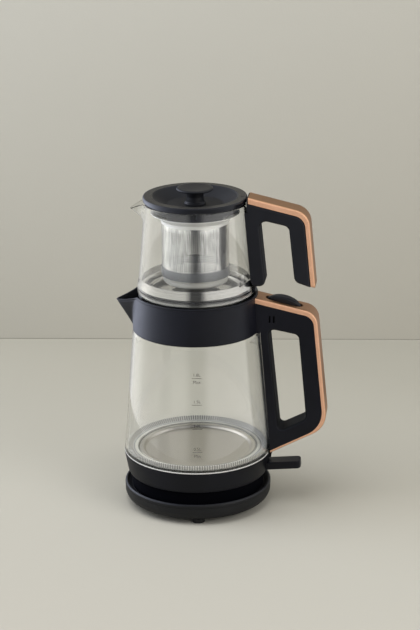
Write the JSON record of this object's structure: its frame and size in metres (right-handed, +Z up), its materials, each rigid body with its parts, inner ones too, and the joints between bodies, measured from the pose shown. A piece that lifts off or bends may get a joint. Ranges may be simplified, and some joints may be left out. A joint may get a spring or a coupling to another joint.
{
  "type": "electric tea maker",
  "caption": "Two-tier electric tea maker: power base, glass kettle with copper-trimmed handle, glass teapot with strainer, lid and knob, each lifting off.",
  "frame": {"origin": "on the table, at the middle of the footprint, which reaches from the kettle's spout to its handle; the axis of the kettle, teapot and base stands at x = -0.027 m", "axes": "+Z up, +X from the spout towards the handles, +Y away from the side with the water marks"},
  "size_m": [0.2287, 0.1604, 0.3547],
  "materials": {
    "black_plastic": "satin black moulded polypropylene",
    "base_plastic": "fine textured black plastic",
    "inner_plastic": "dark grey heat resistant plastic",
    "lid_plastic": "semi-gloss black plastic",
    "copper_trim": "brushed rose-gold coated metal",
    "kettle_glass": "clear borosilicate glass",
    "teapot_glass": "clear borosilicate glass",
    "steel_brushed": "satin stainless steel",
    "steel_mesh": "etched stainless mesh",
    "steel_polished": "polished stainless steel",
    "screw_steel": "zinc plated steel",
    "spring_steel": "spring wire",
    "brass": "plain brass strip",
    "aluminium": "pressed aluminium",
    "rubber_feet": "moulded rubber",
    "silicone": "translucent grey silicone"
  },
  "bodies": {
    "power_base": {"base_bottom_cover": "base_plastic", "base_feet": "rubber_feet", "base_top_shell": "base_plastic", "base_screws": "screw_steel", "base_socket": "inner_plastic", "base_contacts": "brass", "terminal_block": "inner_plastic", "cord_gland": "base_plastic"},
    "kettle": {"kettle_bottom_cover": "base_plastic", "lower_collar": "black_plastic", "bottom_screws": "screw_steel", "kettle_connector": "inner_plastic", "connector_pins": "brass", "control_unit": "inner_plastic", "bimetal_disc": "brass", "heat_spreader": "aluminium", "heating_element": "steel_brushed", "element_terminals": "screw_steel", "heating_plate": "steel_brushed", "plate_seal": "silicone", "glass_gasket": "silicone", "kettle_glass": "kettle_glass", "lever_pin": "screw_steel", "upper_collar": "black_plastic", "collar_seal": "silicone", "kettle_handle": "black_plastic", "kettle_handle_trim": "copper_trim", "steam_tube": "silicone", "handle_screws": "screw_steel", "button_spring": "spring_steel"},
    "lever": {"switch_lever": "black_plastic"},
    "button": {"lid_button": "black_plastic"},
    "latch": {"lid_latch": "inner_plastic"},
    "steam_lid_body": {"steam_lid": "black_plastic", "steam_lid_seal": "silicone", "steam_lid_grip": "black_plastic"},
    "teapot": {"teapot_glass": "teapot_glass", "teapot_base_pan": "steel_polished", "pan_seal": "silicone", "teapot_foot_ring": "steel_polished", "teapot_handle": "black_plastic", "teapot_handle_trim": "copper_trim", "handle_pads": "silicone", "handle_clip": "black_plastic"},
    "strainer": {"strainer_ring": "inner_plastic", "strainer_rim": "steel_polished", "strainer_mesh": "steel_mesh", "strainer_cup": "steel_polished"},
    "teapot_lid": {"lid_cover": "lid_plastic", "lid_seal": "silicone", "knob_stem": "lid_plastic", "knob_disc": "lid_plastic", "knob_screw": "screw_steel"}
  },
  "joints": [
    {"name": "kettle_lift", "type": "slide", "parent": "power_base", "child": "kettle", "axis": [0, 0, 1], "range_m": [0, 0.12]},
    {"name": "switch_lever_turn", "type": "hinge", "parent": "kettle", "child": "lever", "pos_m": [0.037, 0, 0.042], "axis": [0, 1, 0], "range_deg": [0, 10]},
    {"name": "lid_button_press", "type": "slide", "parent": "kettle", "child": "button", "axis": [-0.2223, 0, -0.975], "range_m": [0, 0.003], "stiffness_N_per_m": 400, "springref_m": -0.002, "deforming": ["button_spring"]},
    {"name": "lid_latch_slide", "type": "slide", "parent": "kettle", "child": "latch", "axis": [1, 0, 0], "range_m": [0, 0.003]},
    {"name": "steam_lid_lift", "type": "slide", "parent": "kettle", "child": "steam_lid_body", "axis": [0, 0, 1], "range_m": [0, 0.06]},
    {"name": "teapot_lift", "type": "slide", "parent": "steam_lid_body", "child": "teapot", "axis": [0, 0, 1], "range_m": [0, 0.12]},
    {"name": "strainer_lift", "type": "slide", "parent": "teapot", "child": "strainer", "axis": [0, 0, 1], "range_m": [0, 0.1]},
    {"name": "teapot_lid_lift", "type": "slide", "parent": "strainer", "child": "teapot_lid", "axis": [0, 0, 1], "range_m": [0, 0.06]}
  ],
  "couplings": [
    {"joint": "lid_latch_slide", "follows": "lid_button_press", "ratio": 1}
  ]
}
